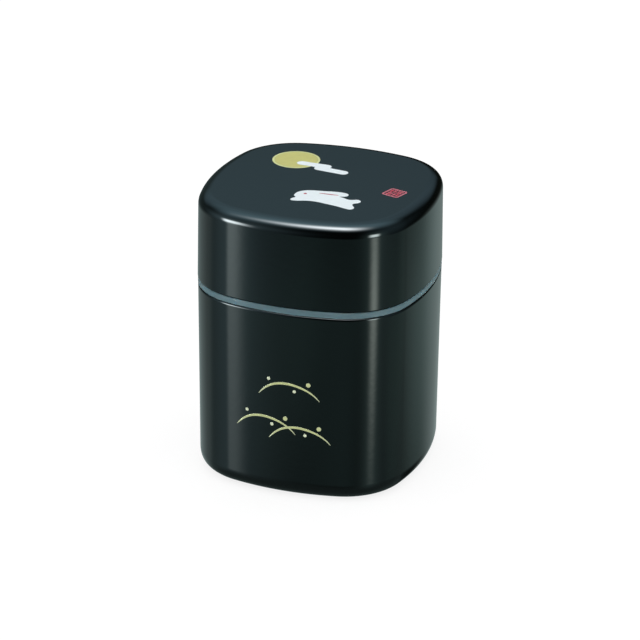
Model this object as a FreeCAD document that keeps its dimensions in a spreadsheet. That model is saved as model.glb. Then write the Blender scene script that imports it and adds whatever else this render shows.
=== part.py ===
import FreeCAD, Part

import math
import os

import Sketcher
from FreeCAD import Placement, Rotation, Vector

# Tea caddy with a rounded-square plan and softly bulging sides. Three mouldings come apart:
#   caddy_body   cup with a foot rim and a plain mouth
#   seal_lid     inner lid; its flange shows as the band between body and lid
#   outer_lid    deep cover that drops over the seal lid's collar
# Printed ink films lie on the lid's top and on the front of the body.
# Frame: +Z up, z = 0 on the table, origin under the middle of the body, front is -Y.
# Millimetres throughout.

doc = FreeCAD.newDocument("TeaCaddy")

# ---------------------------------------------------------------- driving dimensions
DIMENSIONS = [  # alias, value, note
    # plan outline of the lid's lower edge; every other outline is this one, offset
    ("plan_half", 42.0, "half width across the flats, at the lid's lower edge"),
    ("plan_side", 89.0, "radius of the bulging side"),
    ("plan_corner", 25.5, "corner radius"),
    # body
    ("body_height", 71.6, "foot to mouth"),
    ("body_inset", 0.14, "mouth outline inside the lid's lower edge"),
    ("body_draft", 0.38, "degrees, wall leans in towards the foot"),
    ("body_wall", 2.6, "wall thickness"),
    ("body_floor", 3.2, "floor thickness"),
    ("body_foot_round", 5.5, "outer round at the foot"),
    ("body_floor_round", 4.0, "inner round at the floor"),
    ("foot_width", 3.6, "flat part of the foot rim"),
    ("foot_recess", 0.9, "underside recess"),
    ("mouth_round_out", 0.8, "outer round of the mouth"),
    ("mouth_round_in", 0.4, "inner round of the mouth"),
    # seal lid
    ("flange_thick", 2.2, "visible band"),
    ("flange_inset", 0.1, "band outline inside the lid's lower edge"),
    ("flange_round", 0.3, "round of the band's outer corners"),
    ("plug_depth", 7.0, "skirt below the mouth"),
    ("plug_gap", 0.12, "skirt to mouth, per side"),
    ("plug_draft", 1.0, "degrees"),
    ("seal_skin", 1.2, "skirt, collar and panel thickness"),
    ("bead_rise", 0.07, "sealing bead stands proud of the skirt"),
    ("bead_width", 0.7, "sealing bead height"),
    ("bead_first", 1.8, "first bead below the mouth"),
    ("bead_pitch", 2.0, "second bead below the first"),
    ("collar_height", 5.0, "collar above the flange"),
    ("collar_gap", 0.2, "collar to lid, per side"),
    ("collar_draft", 1.0, "degrees"),
    ("panel_drop", 5.6, "underside of the panel below the mouth"),
    ("dish_draft", 1.3, "degrees"),
    ("grip_length", 26.0, "pinch bar, end to end"),
    ("grip_thick", 2.6, "pinch bar, across"),
    ("grip_height", 8.2, "pinch bar above the panel"),
    ("rib_inset", 9.0, "stiffening ring, in from the foot of the dish wall"),
    ("rib_width", 1.4, "stiffening ring, across"),
    ("rib_height", 0.8, "stiffening ring above the panel"),
    # outer lid
    ("lid_gap", 0.03, "running gap under the lid's edge"),
    ("lid_height", 32.4, "lower edge to top"),
    ("lid_draft", 0.73, "degrees, wall leans in towards the top"),
    ("lid_wall", 2.4, "wall thickness"),
    ("lid_top", 2.6, "top thickness"),
    ("lid_top_round", 4.4, "outer round of the top"),
    ("lid_inner_round", 2.6, "inner round under the top"),
    ("lid_rim_round", 0.5, "round of the lower edge"),
    ("seat_gap", 0.02, "flange to mouth"),
    # printed films
    ("ink", 0.08, "ink film thickness"),
    ("moon_x", -16.1, "moon centre"),
    ("moon_y", 18.0, "moon centre"),
    ("moon_radius", 8.75, "moon disc"),
    ("stamp_x", 28.0, "stamp centre"),
    ("stamp_y", -1.7, "stamp centre"),
    ("stamp_side", 7.0, "outer side of the stamp's frame"),
    ("stamp_gap", 0.42, "gaps of the pattern inside the stamp"),
    ("stamp_line", 0.62, "frame line width"),
    ("stamp_round", 1.1, "frame corner radius, outside"),
    ("stamp_inner_round", 0.6, "frame corner radius, inside"),
    ("stamp_turn", -18.0, "degrees"),
    ("blade_span", 22.7, "grass blade, tip to tip"),
    ("blade_rise", 5.6, "grass blade, height of its bow"),
    ("blade_thick", 0.94, "grass blade, widest"),
    ("prism_front", 46.0, "front print shapes start this far ahead of the axis"),
    ("prism_depth", 10.0, "front print shapes reach this far back into the body"),
]


class Formula:
    """A sheet expression with its present value, so that sketches start close to solved."""

    def __init__(self, text, value):
        self.text = text
        self.value = value

    def __str__(self):
        return self.text

    def __add__(self, other):
        return Formula(f"({self} + {other})", self.value + number(other))

    def __sub__(self, other):
        return Formula(f"({self} - {other})", self.value - number(other))

    def __mul__(self, other):
        return Formula(f"({self} * {other})", self.value * number(other))

    def __rmul__(self, factor):
        return Formula(f"({factor} * {self})", factor * self.value)

    def __neg__(self):
        return -1 * self


def number(term):
    return term.value if isinstance(term, Formula) else term


def slope(draft):
    """Sideways run per unit of height at a draft angle in degrees."""
    return Formula(f"tan({draft} * 1 deg)", math.tan(math.radians(draft.value)))


class Dim:
    """Holds one Formula for each alias of the sheet."""


sheet = doc.addObject("Spreadsheet::Sheet", "Dims")
for row, (alias, value, note) in enumerate(DIMENSIONS, start=1):
    sheet.set(f"A{row}", str(value))
    sheet.setAlias(f"A{row}", alias)
    sheet.set(f"B{row}", note)
    setattr(Dim, alias, Formula(f"Dims.{alias}", value))
doc.recompute()

# Heights
Z_FOOT = Formula("0", 0.0)
Z_MOUTH = Dim.body_height
Z_SEAT = Z_MOUTH + Dim.seat_gap
Z_FLANGE = Z_SEAT + Dim.flange_thick
Z_LID = Z_FLANGE + Dim.lid_gap
Z_TOP = Z_LID + Dim.lid_height

# Offsets of the body's outer wall from the plan outline, positive outwards
BODY_AT_MOUTH = -Dim.body_inset
BODY_AT_FOOT = BODY_AT_MOUTH - slope(Dim.body_draft) * Dim.body_height

# Plan outline: side arcs centred on the axes, at this signed distance towards their own side,
# tangent to corner arcs centred on the diagonals at (+-CORNER_CENTRE, +-CORNER_CENTRE).
SIDE_CENTRE = Dim.plan_half.value - Dim.plan_side.value
CORNER_CENTRE = (2 * SIDE_CENTRE + math.sqrt(
    4 * SIDE_CENTRE ** 2
    - 8 * (SIDE_CENTRE ** 2 - (Dim.plan_side.value - Dim.plan_corner.value) ** 2))) / 4
SIDE_HALF_ANGLE = math.atan2(CORNER_CENTRE, CORNER_CENTRE - SIDE_CENTRE)

# Sketcher's numbers for the axes and for the points of a curve
X_AXIS, Y_AXIS = -1, -2
START, END, CENTRE = 1, 2, 3
ORIGIN = (-1, 1)

UP = Vector(0, 0, 1)
QUARTER = math.pi / 2


# ---------------------------------------------------------------- sketch helpers
def bind(target, path, formula):
    target.setExpression(path, str(formula))


def add_size(sketch, label, formula, kind, *geometry):
    """Dimensional constraint, named and bound to the sheet."""
    index = sketch.addConstraint(Sketcher.Constraint(kind, *geometry, formula.value))
    sketch.renameConstraint(index, label)
    bind(sketch, f"Constraints.{label}", formula)


def add_blocked(sketch, curves):
    """Adds curves that stay exactly where they are drawn."""
    for curve in curves:
        sketch.addConstraint(Sketcher.Constraint("Block", sketch.addGeometry(curve)))


def arc(centre, radius, start, end):
    return Part.ArcOfCircle(Part.Circle(centre, UP, radius), start, end)


def level_sketch(body, name, z):
    """Sketch of a body, parallel to its XY plane at height z."""
    sketch = body.newObject("Sketcher::SketchObject", name)
    plane = next(o for o in body.Origin.OriginFeatures if o.Role == "XY_Plane")
    sketch.AttachmentSupport = (plane, [""])
    sketch.MapMode = "FlatFace"
    bind(sketch, "AttachmentOffset.Base.z", z)
    return sketch


def outline(body, name, z, offset):
    """Sketch of the plan outline at height z, offset outwards."""
    sketch = level_sketch(body, name, z)
    side_radius = Dim.plan_side + offset
    corner_radius = Dim.plan_corner + offset
    corner_half_angle = QUARTER / 2 - SIDE_HALF_ANGLE
    curves = []
    for k in range(4):  # sides at +Y, -X, -Y, +X, each followed by the next corner anticlockwise
        middle = QUARTER * (k + 1)
        centre = Vector(math.cos(middle), math.sin(middle), 0) * SIDE_CENTRE
        curves.append(sketch.addGeometry(arc(
            centre, side_radius.value, middle - SIDE_HALF_ANGLE, middle + SIDE_HALF_ANGLE)))
        diagonal = middle + QUARTER / 2
        centre = Vector(math.cos(diagonal), math.sin(diagonal), 0) * CORNER_CENTRE * math.sqrt(2)
        curves.append(sketch.addGeometry(arc(
            centre, corner_radius.value,
            diagonal - corner_half_angle, diagonal + corner_half_angle)))
    for k in range(8):
        following = curves[(k + 1) % 8]
        sketch.addConstraint(Sketcher.Constraint("Tangent", curves[k], END, following, START))
    add_size(sketch, "SideR", side_radius, "Radius", curves[0])
    add_size(sketch, "CornerR", corner_radius, "Radius", curves[1])
    for k in range(2, 8):
        sketch.addConstraint(Sketcher.Constraint("Equal", curves[k % 2], curves[k]))
    # a side's centre lies beyond the origin from it; distances run in the positive direction
    for label, k, axis, kind, centre_first in (
            ("CentreA", 0, Y_AXIS, "DistanceY", True),
            ("CentreC", 4, Y_AXIS, "DistanceY", False),
            ("CentreB", 2, X_AXIS, "DistanceX", False),
            ("CentreD", 6, X_AXIS, "DistanceX", True)):
        centre = (curves[k], CENTRE)
        sketch.addConstraint(Sketcher.Constraint("PointOnObject", *centre, axis))
        ends = centre + ORIGIN if centre_first else ORIGIN + centre
        add_size(sketch, label, Dim.plan_side - Dim.plan_half, kind, *ends)
    return sketch


# ---------------------------------------------------------------- feature helpers
def new_body(name):
    return doc.addObject("PartDesign::Body", name)


def extrude(body, kind, name, sketch, length, taper, reverse):
    feature = body.newObject(f"PartDesign::{kind}", name)
    feature.Profile = sketch
    bind(feature, "Length", length)
    if taper:
        feature.setExpression("TaperAngle", f"{taper} * 1 deg")
    feature.Reversed = reverse
    sketch.Visibility = False
    doc.recompute()


def pad(body, name, sketch, length, taper=None, down=False):
    """Solid from a sketch; a negative taper closes the walls in along the way it grows."""
    extrude(body, "Pad", name, sketch, length, taper, down)


def pocket(body, name, sketch, length, taper=None, up=False):
    """Cut downwards from a sketch, or upwards; the volume must drop."""
    before = body.Shape.Volume
    extrude(body, "Pocket", name, sketch, length, taper, up)
    if body.Shape.Volume >= before - 1e-6:
        raise RuntimeError(f"{name} cut nothing")


def plan_reach(x, y):
    """How far outside the plan outline a point lies; negative inside."""
    near, far = sorted((abs(x), abs(y)))
    if math.atan2(near, far - SIDE_CENTRE) <= SIDE_HALF_ANGLE:
        return math.hypot(near, far - SIDE_CENTRE) - Dim.plan_side.value
    return math.hypot(near - CORNER_CENTRE, far - CORNER_CENTRE) - Dim.plan_corner.value


def lies_at(edge, z, beyond, within):
    """Whether an edge lies flat at height z, its middle between two reaches."""
    box = edge.BoundBox
    if abs(box.ZMin - z) > 1e-4 or abs(box.ZMax - z) > 1e-4:
        return False
    middle = edge.valueAt((edge.FirstParameter + edge.LastParameter) / 2)
    return beyond < plan_reach(middle.x, middle.y) < within


def fillet(body, name, radius, *heights, beyond=-math.inf, within=math.inf):
    """Rounds every flat-lying edge at these heights whose reach is between the limits."""
    tip = body.Tip
    names = [
        f"Edge{i}" for i, edge in enumerate(tip.Shape.Edges, start=1)
        if any(lies_at(edge, z.value, beyond, within) for z in heights)
    ]
    if not names:
        raise RuntimeError(f"{name} found no edge")
    feature = body.newObject("PartDesign::Fillet", name)
    feature.Base = (tip, names)
    bind(feature, "Radius", radius)
    doc.recompute()


# ---------------------------------------------------------------- body
def build_caddy_body():
    body = new_body("caddy_body")
    pad(body, "BodyOuter", outline(body, "FootOutline", Z_FOOT, BODY_AT_FOOT),
        Dim.body_height, taper=Dim.body_draft)
    fillet(body, "FootRound", Dim.body_foot_round, Z_FOOT)

    overrun = 2  # the cavity cut starts this far above the mouth
    cavity_offset = BODY_AT_MOUTH - Dim.body_wall + slope(Dim.body_draft) * overrun
    pocket(body, "Cavity", outline(body, "CavityOutline", Z_MOUTH + overrun, cavity_offset),
           Dim.body_height + overrun - Dim.body_floor, taper=-Dim.body_draft)
    fillet(body, "FloorRound", Dim.body_floor_round, Dim.body_floor)

    recess_offset = BODY_AT_FOOT - Dim.body_foot_round - Dim.foot_width
    pocket(body, "UndersideRecess", outline(body, "RecessOutline", Z_FOOT, recess_offset),
           Dim.foot_recess, up=True)
    middle_of_rim = recess_offset + 0.5 * Dim.foot_width
    fillet(body, "RecessRound", 0.4 * Dim.foot_recess, Z_FOOT, within=middle_of_rim.value)

    middle_of_wall = -0.5 * Dim.body_wall.value
    fillet(body, "MouthRoundOut", Dim.mouth_round_out, Z_MOUTH, beyond=middle_of_wall)
    fillet(body, "MouthRoundIn", Dim.mouth_round_in, Z_MOUTH, within=middle_of_wall)
    return body


# ---------------------------------------------------------------- seal lid
Z_PANEL = Z_MOUTH - Dim.panel_drop + Dim.seal_skin  # upper face of the panel
PANEL_OVERLAP = 0.3  # ring and pinch bar start this far inside the panel


def build_seal_lid():
    seal = new_body("seal_lid")
    half_flange = 0.5 * Dim.flange_thick
    pad(seal, "Flange", outline(seal, "FlangeOutline", Z_SEAT, -Dim.flange_inset),
        Dim.flange_thick)
    fillet(seal, "FlangeRound", Dim.flange_round, Z_SEAT, Z_FLANGE)

    # plug and collar both grow from the middle of the flange
    plug_slope = slope(Dim.plug_draft)
    plug_at_mouth = BODY_AT_MOUTH - Dim.body_wall - Dim.plug_gap
    above_mouth = Dim.seat_gap + half_flange
    plug_outline = outline(seal, "PlugOutline", Z_SEAT + half_flange,
                           plug_at_mouth + plug_slope * above_mouth)
    pad(seal, "Plug", plug_outline, Dim.plug_depth + above_mouth,
        taper=-Dim.plug_draft, down=True)

    for i, drop in enumerate((Dim.bead_first, Dim.bead_first + Dim.bead_pitch), start=1):
        bead_outline = outline(seal, f"Bead{i}Outline", Z_MOUTH - drop - Dim.bead_width,
                               plug_at_mouth - plug_slope * drop + Dim.bead_rise)
        pad(seal, f"SealingBead{i}", bead_outline, Dim.bead_width)

    collar_slope = slope(Dim.collar_draft)
    collar_at_flange = -Dim.lid_wall - Dim.collar_gap
    collar_at_top = collar_at_flange - collar_slope * Dim.collar_height
    z_collar = Z_FLANGE + Dim.collar_height
    collar_outline = outline(seal, "CollarOutline", Z_SEAT + half_flange,
                             collar_at_flange + collar_slope * half_flange)
    pad(seal, "Collar", collar_outline, half_flange + Dim.collar_height,
        taper=-Dim.collar_draft)

    # dish from above, down to the panel; then the skirt's open underside, up to the panel
    overrun = 1
    dish_slope = slope(Dim.dish_draft)
    dish_depth = z_collar - Z_PANEL
    dish_at_top = collar_at_top - Dim.seal_skin
    dish_outline = outline(seal, "DishOutline", z_collar + overrun,
                           dish_at_top + dish_slope * overrun)
    pocket(seal, "Dish", dish_outline, dish_depth + overrun, taper=-Dim.dish_draft)
    skirt_outline = outline(seal, "SkirtInsideOutline", Z_MOUTH - Dim.plug_depth - overrun,
                            plug_at_mouth - plug_slope * Dim.plug_depth - Dim.seal_skin)
    pocket(seal, "SkirtInside", skirt_outline, Dim.plug_depth + overrun - Dim.panel_drop,
           up=True)

    fillet(seal, "DishRound", Dim.seal_skin, Z_PANEL)
    fillet(seal, "CollarRound", 0.35 * Dim.seal_skin, z_collar)
    fillet(seal, "SkirtRound", 0.3 * Dim.seal_skin, Z_MOUTH - Dim.plug_depth)

    add_stiffening_ring(seal, dish_at_top - dish_slope * dish_depth - Dim.rib_inset)
    add_pinch_bar(seal)
    return seal


def add_stiffening_ring(seal, ring_offset):
    """Low ring on the panel: a block, then a cut that leaves its rim."""
    overrun = 0.5
    pad(seal, "RibBlock", outline(seal, "RibOuterOutline", Z_PANEL - PANEL_OVERLAP, ring_offset),
        Dim.rib_height + PANEL_OVERLAP)
    z_ring = Z_PANEL + Dim.rib_height
    inner_outline = outline(seal, "RibInnerOutline", z_ring + overrun,
                            ring_offset - Dim.rib_width)
    pocket(seal, "RibInside", inner_outline, Dim.rib_height + overrun)
    fillet(seal, "RibRound", 0.4 * Dim.rib_height, z_ring)


def add_pinch_bar(seal):
    """Bar along X in the middle of the dish, for pulling the seal lid out."""
    pad(seal, "Grip", grip_outline(seal, Z_PANEL - PANEL_OVERLAP),
        Dim.grip_height + PANEL_OVERLAP, taper=-Dim.plug_draft)
    fillet(seal, "GripTopRound", 0.4 * Dim.grip_thick, Z_PANEL + Dim.grip_height)


def grip_outline(body, z):
    """Slot shape with round ends at -X and +X."""
    sketch = level_sketch(body, "GripOutline", z)
    end_radius = 0.5 * Dim.grip_thick
    span = Dim.grip_length - Dim.grip_thick
    half, r = span.value / 2, end_radius.value
    right = sketch.addGeometry(arc(Vector(half, 0, 0), r, -QUARTER, QUARTER))
    rear = sketch.addGeometry(Part.LineSegment(Vector(half, r, 0), Vector(-half, r, 0)))
    left = sketch.addGeometry(arc(Vector(-half, 0, 0), r, QUARTER, 3 * QUARTER))
    front = sketch.addGeometry(Part.LineSegment(Vector(-half, -r, 0), Vector(half, -r, 0)))
    for curve, following in ((right, rear), (rear, left), (left, front), (front, right)):
        sketch.addConstraint(Sketcher.Constraint("Tangent", curve, END, following, START))
    sketch.addConstraint(Sketcher.Constraint("Horizontal", rear))
    sketch.addConstraint(Sketcher.Constraint("PointOnObject", right, CENTRE, X_AXIS))
    sketch.addConstraint(
        Sketcher.Constraint("Symmetric", right, CENTRE, left, CENTRE, *ORIGIN))
    add_size(sketch, "EndR", end_radius, "Radius", right)
    add_size(sketch, "Span", span, "DistanceX", left, CENTRE, right, CENTRE)
    return sketch


# ---------------------------------------------------------------- outer lid
def build_outer_lid():
    lid = new_body("outer_lid")
    pad(lid, "LidOuter", outline(lid, "LidEdgeOutline", Z_LID, Formula("0", 0.0)),
        Dim.lid_height, taper=-Dim.lid_draft)
    fillet(lid, "TopRound", Dim.lid_top_round, Z_TOP)

    overrun = 1  # the inside cut starts this far below the lower edge
    inside_offset = -Dim.lid_wall + slope(Dim.lid_draft) * overrun
    pocket(lid, "LidInside", outline(lid, "LidInsideOutline", Z_LID - overrun, inside_offset),
           Dim.lid_height + overrun - Dim.lid_top, taper=-Dim.lid_draft, up=True)
    fillet(lid, "InnerTopRound", Dim.lid_inner_round, Z_TOP - Dim.lid_top)

    middle_of_wall = -0.5 * Dim.lid_wall.value
    fillet(lid, "LidRimOut", Dim.lid_rim_round, Z_LID, beyond=middle_of_wall)
    fillet(lid, "LidRimIn", 0.6 * Dim.lid_rim_round, Z_LID, within=middle_of_wall)
    return lid


# ---------------------------------------------------------------- printed films on the lid's top
CLOUD_CAPSULES = [  # (x, y) of one end's centre, (x, y) of the other's, radius
    ((-13.0, 15.4), (-3.3, 15.0), 1.8),
    ((-5.4, 13.8), (-3.0, 13.7), 1.4),
    ((-5.3, 12.5), (4.3, 11.2), 1.85),
]
RABBIT_OUTLINE = [  # (x, y) on a closed smooth curve, clockwise
    (-4.9, -15.2), (-4.6, -12.9), (-2.9, -10.7), (0.2, -9.4), (3.6, -8.8), (7.2, -8.1),
    (10.8, -7.9), (13.2, -9.0), (13.0, -11.0), (10.8, -12.0), (12.6, -12.7), (14.9, -13.7),
    (16.3, -13.4), (17.9, -12.7), (19.4, -13.9), (18.9, -15.8), (17.7, -16.9), (18.0, -18.7),
    (19.2, -20.7), (18.7, -22.3), (16.4, -22.3), (13.0, -21.2), (9.0, -20.3), (4.6, -19.5),
    (0.8, -19.8), (-2.2, -20.9), (-4.5, -20.7), (-4.4, -19.0), (-3.7, -17.6), (-4.5, -16.7),
]
# a dot and a thin slanted ellipse printed over the rabbit
DOT_CENTRE = Vector(-1.5, -13.4, 0)
DOT_RADIUS = 0.6
STROKE_CENTRE = Vector(6.6, -11.2, 0)
STROKE_HALF_LENGTH = 3.7
STROKE_HALF_WIDTH = 0.36
STROKE_TILT = 2.0  # degrees

STAMP_BAR_ROUND = 0.3  # corner radius of a bar, as a share of its thickness


def capsule(start, end, radius):
    p, q = Vector(*start, 0), Vector(*end, 0)
    angle = math.atan2(q.y - p.y, q.x - p.x)
    side = Vector(-math.sin(angle), math.cos(angle), 0) * radius
    return [
        arc(q, radius, angle - QUARTER, angle + QUARTER),
        Part.LineSegment(q + side, p + side),
        arc(p, radius, angle + QUARTER, angle + 3 * QUARTER),
        Part.LineSegment(p - side, q - side),
    ]


def closed_spline(points):
    curve = Part.BSplineCurve()
    curve.interpolate(Points=[Vector(x, y, 0) for x, y in points], PeriodicFlag=True)
    return curve


def tilted_ellipse(centre, half_length, half_width, tilt):
    angle = math.radians(tilt)
    along = Vector(math.cos(angle), math.sin(angle), 0)
    across = Vector(-math.sin(angle), math.cos(angle), 0)
    return Part.Ellipse(centre + along * half_length, centre + across * half_width, centre)


def rounded_rectangle(centre_x, centre_y, width, height, radius):
    half_x, half_y = width / 2 - radius, height / 2 - radius
    corners = [
        Vector(centre_x + sign_x * half_x, centre_y + sign_y * half_y, 0)
        for sign_x, sign_y in ((1, 1), (-1, 1), (-1, -1), (1, -1))
    ]
    curves = []
    for k, corner in enumerate(corners):
        end = (k + 1) * QUARTER
        out = Vector(math.cos(end), math.sin(end), 0) * radius
        curves.append(arc(corner, radius, k * QUARTER, end))
        curves.append(Part.LineSegment(corner + out, corners[(k + 1) % 4] + out))
    return curves


def film_body(label, shapes):
    """Ink film on the flat top: one pad per closed shape, fused in one body."""
    body = new_body(label)
    for i, curves in enumerate(shapes, start=1):
        sketch = level_sketch(body, f"{label}_shape{i}", Z_TOP)
        add_blocked(sketch, curves)
        pad(body, f"{label}_film{i}", sketch, Dim.ink)
    return body


def film_extrusion(label, sketch, length=Dim.ink):
    film = doc.addObject("Part::Extrusion", label)
    film.Base = sketch
    film.DirMode = "Normal"
    bind(film, "LengthFwd", length)
    film.Solid = True
    film.FaceMakerClass = "Part::FaceMakerBullseye"
    sketch.Visibility = False
    return film


def cut(name, base, tool):
    result = doc.addObject("Part::Cut", name)
    result.Base = base
    result.Tool = tool
    return result


def print_moon(cloud):
    """Disc with the cloud left out of it: the cloud is printed beside the moon, not over it."""
    disc = doc.addObject("Part::Cylinder", "MoonDisc")
    bind(disc, "Radius", Dim.moon_radius)
    bind(disc, "Height", Dim.ink)
    bind(disc, "Placement.Base.x", Dim.moon_x)
    bind(disc, "Placement.Base.y", Dim.moon_y)
    bind(disc, "Placement.Base.z", Z_TOP)
    return cut("moon_print", disc, cloud)


def print_rabbit_detail():
    sketch = doc.addObject("Sketcher::SketchObject", "DetailShape")
    bind(sketch, "Placement.Base.z", Z_TOP + Dim.ink)
    add_blocked(sketch, [
        Part.Circle(DOT_CENTRE, UP, DOT_RADIUS),
        tilted_ellipse(STROKE_CENTRE, STROKE_HALF_LENGTH, STROKE_HALF_WIDTH, STROKE_TILT),
    ])
    return film_extrusion("rabbit_detail_print", sketch)


def print_stamp():
    """Square frame around a basket weave: four quarters of two bars, turned alternately."""
    sketch = doc.addObject("Sketcher::SketchObject", "StampShape")
    side, gap = Dim.stamp_side.value, Dim.stamp_gap.value
    inner = side - 2 * Dim.stamp_line.value
    cell = (inner - 3 * gap) / 2
    bar = (cell - gap) / 2
    bar_round = bar * STAMP_BAR_ROUND
    add_blocked(sketch, rounded_rectangle(0, 0, side, side, Dim.stamp_round.value))
    add_blocked(sketch, rounded_rectangle(0, 0, inner, inner, Dim.stamp_inner_round.value))
    for sign_x, sign_y in ((-1, -1), (-1, 1), (1, -1), (1, 1)):
        x, y = sign_x * (cell + gap) / 2, sign_y * (cell + gap) / 2
        for shift in (-(bar + gap) / 2, (bar + gap) / 2):
            if sign_x == sign_y:
                curves = rounded_rectangle(x, y + shift, cell, bar, bar_round)
            else:
                curves = rounded_rectangle(x + shift, y, bar, cell, bar_round)
            add_blocked(sketch, curves)
    sketch.Placement = Placement(Vector(), Rotation(UP, Dim.stamp_turn.value))
    bind(sketch, "Placement.Base.x", Dim.stamp_x)
    bind(sketch, "Placement.Base.y", Dim.stamp_y)
    bind(sketch, "Placement.Base.z", Z_TOP)
    return film_extrusion("stamp_print", sketch)


# ---------------------------------------------------------------- printed films on the front
# Grass blades bent over into bows that rise fast and droop slowly, tapering to both ends,
# with round drops beside them.
BLADE_TIPS = [(-8.75, 39.1), (-17.45, 25.1), (-4.75, 22.35)]  # (x, z) of each left tip
DROPS = [  # blade, along x from its left tip, above that tip, radius
    (0, 3.85, 6.7, 0.62), (0, 18.65, 6.05, 0.84), (0, 13.55, 2.95, 0.6),
    (1, 4.05, 6.85, 0.62), (1, 18.9, 5.9, 0.84), (1, 13.85, 3.0, 0.62),
    (2, 18.55, 6.0, 0.84), (2, 13.55, 2.95, 0.6),
]
# a blade's middle line and width: shares of its span, of its bow's height, of its widest width
BLADE_STATIONS = [
    (0.0, 0.054, 0.17), (0.06, 0.33, 0.53), (0.125, 0.571, 0.72), (0.25, 0.864, 0.91),
    (0.375, 0.9875, 1.0), (0.5, 1.0, 1.0), (0.625, 0.916, 0.93), (0.75, 0.75, 0.8),
    (0.875, 0.477, 0.6), (0.94, 0.261, 0.44), (1.0, 0.0, 0.17),
]


def blade_curves(x, z):
    """Edges of a blade: two long smooth curves, with short blunt ends."""
    middle = [
        Vector(x + along * Dim.blade_span.value, z + above * Dim.blade_rise.value, 0)
        for along, above, _ in BLADE_STATIONS
    ]
    line = Part.BSplineCurve()
    line.interpolate(middle)
    rails, rail_points = [], []
    for side in (0.5, -0.5):
        points = []
        for point, (_, _, width) in zip(middle, BLADE_STATIONS):
            tangent = line.tangent(line.parameter(point))[0]
            across = Vector(-tangent.y, tangent.x, 0)
            points.append(point + across * (side * width * Dim.blade_thick.value))
        rail = Part.BSplineCurve()
        rail.interpolate(points)
        rails.append(rail)
        rail_points.append(points)
    upper, lower = rail_points
    return rails + [Part.LineSegment(upper[k], lower[k]) for k in (0, -1)]


def front_prism(name, sketch_name, curves):
    """Prism reaching back from a plane ahead of the body; sketch x is X, sketch y is Z."""
    sketch = doc.addObject("Sketcher::SketchObject", sketch_name)
    sketch.Placement = Placement(Vector(), Rotation(Vector(1, 0, 0), 90))
    bind(sketch, "Placement.Base.y", -Dim.prism_front)
    add_blocked(sketch, curves)
    return film_extrusion(name, sketch, -Dim.prism_depth)


def wall_solid(name, offset):
    """The body's outer form, without rounds, offset outwards."""
    body = new_body(name)
    pad(body, f"{name}Pad", outline(body, f"{name}Outline", Z_FOOT, offset),
        Dim.body_height, taper=Dim.body_draft)
    return body


def wrapped(label, shell, prism):
    """The part of the ink shell that a prism covers."""
    film = doc.addObject("Part::Common", label)
    film.Base = shell
    film.Tool = prism
    return film


def print_grass(shell):
    prisms = doc.addObject("Part::MultiFuse", "grass_print_prisms")
    prisms.Shapes = [
        front_prism(f"Blade{i}Prism", f"Blade{i}Shape", blade_curves(x, z))
        for i, (x, z) in enumerate(BLADE_TIPS, start=1)
    ]
    return wrapped("grass_print", shell, prisms)


def print_drops(shell):
    circles = []
    for blade, along, above, radius in DROPS:
        x, z = BLADE_TIPS[blade]
        circles.append(Part.Circle(Vector(x + along, z + above, 0), UP, radius))
    prisms = front_prism("DropPrisms", "DropShape", circles)
    return wrapped("dew_drop_print", shell, prisms)


# ---------------------------------------------------------------- build and export
caddy_body = build_caddy_body()
seal_lid = build_seal_lid()
outer_lid = build_outer_lid()
cloud = film_body("cloud_print", [capsule(*entry) for entry in CLOUD_CAPSULES])
rabbit = film_body("rabbit_print", [[closed_spline(RABBIT_OUTLINE)]])
moon = print_moon(cloud)
rabbit_detail = print_rabbit_detail()
stamp = print_stamp()
ink_outer = wall_solid("InkOuter", BODY_AT_FOOT + Dim.ink)
ink_core = wall_solid("InkCore", BODY_AT_FOOT)
ink_shell = cut("InkShell", ink_outer, ink_core)
grass = print_grass(ink_shell)
dew_drops = print_drops(ink_shell)
doc.recompute()

failed = [(o.Name, o.State) for o in doc.Objects
          if any(word in o.State for word in ("Invalid", "Error"))]
if failed:
    raise RuntimeError(f"failed objects: {failed}")

# each file is named after its part's label
os.makedirs("parts", exist_ok=True)
for part in (caddy_body, seal_lid, outer_lid, moon, cloud, rabbit, rabbit_detail, stamp,
             grass, dew_drops):
    shape = part.Shape
    if shape.isNull() or not shape.isValid() or not shape.Solids:
        raise RuntimeError(f"{part.Label} has no valid solid")
    if any(solid.Volume <= 0 for solid in shape.Solids):
        raise RuntimeError(f"{part.Label} has a solid that is inside out")
    shape.exportStep(os.path.join("parts", part.Label + ".step"))
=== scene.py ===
# A lidded caddy with a rounded-square plan: a black lacquered body, a translucent seal lid, a
# deep black outer lid, and thin printed films on the lid's top and the body's front.
# It stands on z = 0, centred on the z axis, with its front towards -Y and +X on the right.
# Lengths are millimetres until a mesh is written, then metres.
import math

import bpy
import bmesh
import numpy as np
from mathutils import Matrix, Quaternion, Vector
from mathutils.geometry import delaunay_2d_cdt


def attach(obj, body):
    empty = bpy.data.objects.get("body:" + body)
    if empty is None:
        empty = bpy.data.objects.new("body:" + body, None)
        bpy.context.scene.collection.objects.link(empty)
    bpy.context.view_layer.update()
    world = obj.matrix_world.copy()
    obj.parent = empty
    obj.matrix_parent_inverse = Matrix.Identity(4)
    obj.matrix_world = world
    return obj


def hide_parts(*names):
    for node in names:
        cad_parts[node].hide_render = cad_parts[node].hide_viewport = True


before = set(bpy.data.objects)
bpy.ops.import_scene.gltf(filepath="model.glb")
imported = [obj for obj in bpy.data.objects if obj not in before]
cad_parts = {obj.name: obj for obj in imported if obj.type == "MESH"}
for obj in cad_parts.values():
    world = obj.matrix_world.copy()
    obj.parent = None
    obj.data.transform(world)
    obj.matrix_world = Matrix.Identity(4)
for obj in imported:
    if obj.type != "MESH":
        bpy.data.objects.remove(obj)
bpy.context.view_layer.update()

MM = 0.001
scene = bpy.context.scene

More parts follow.
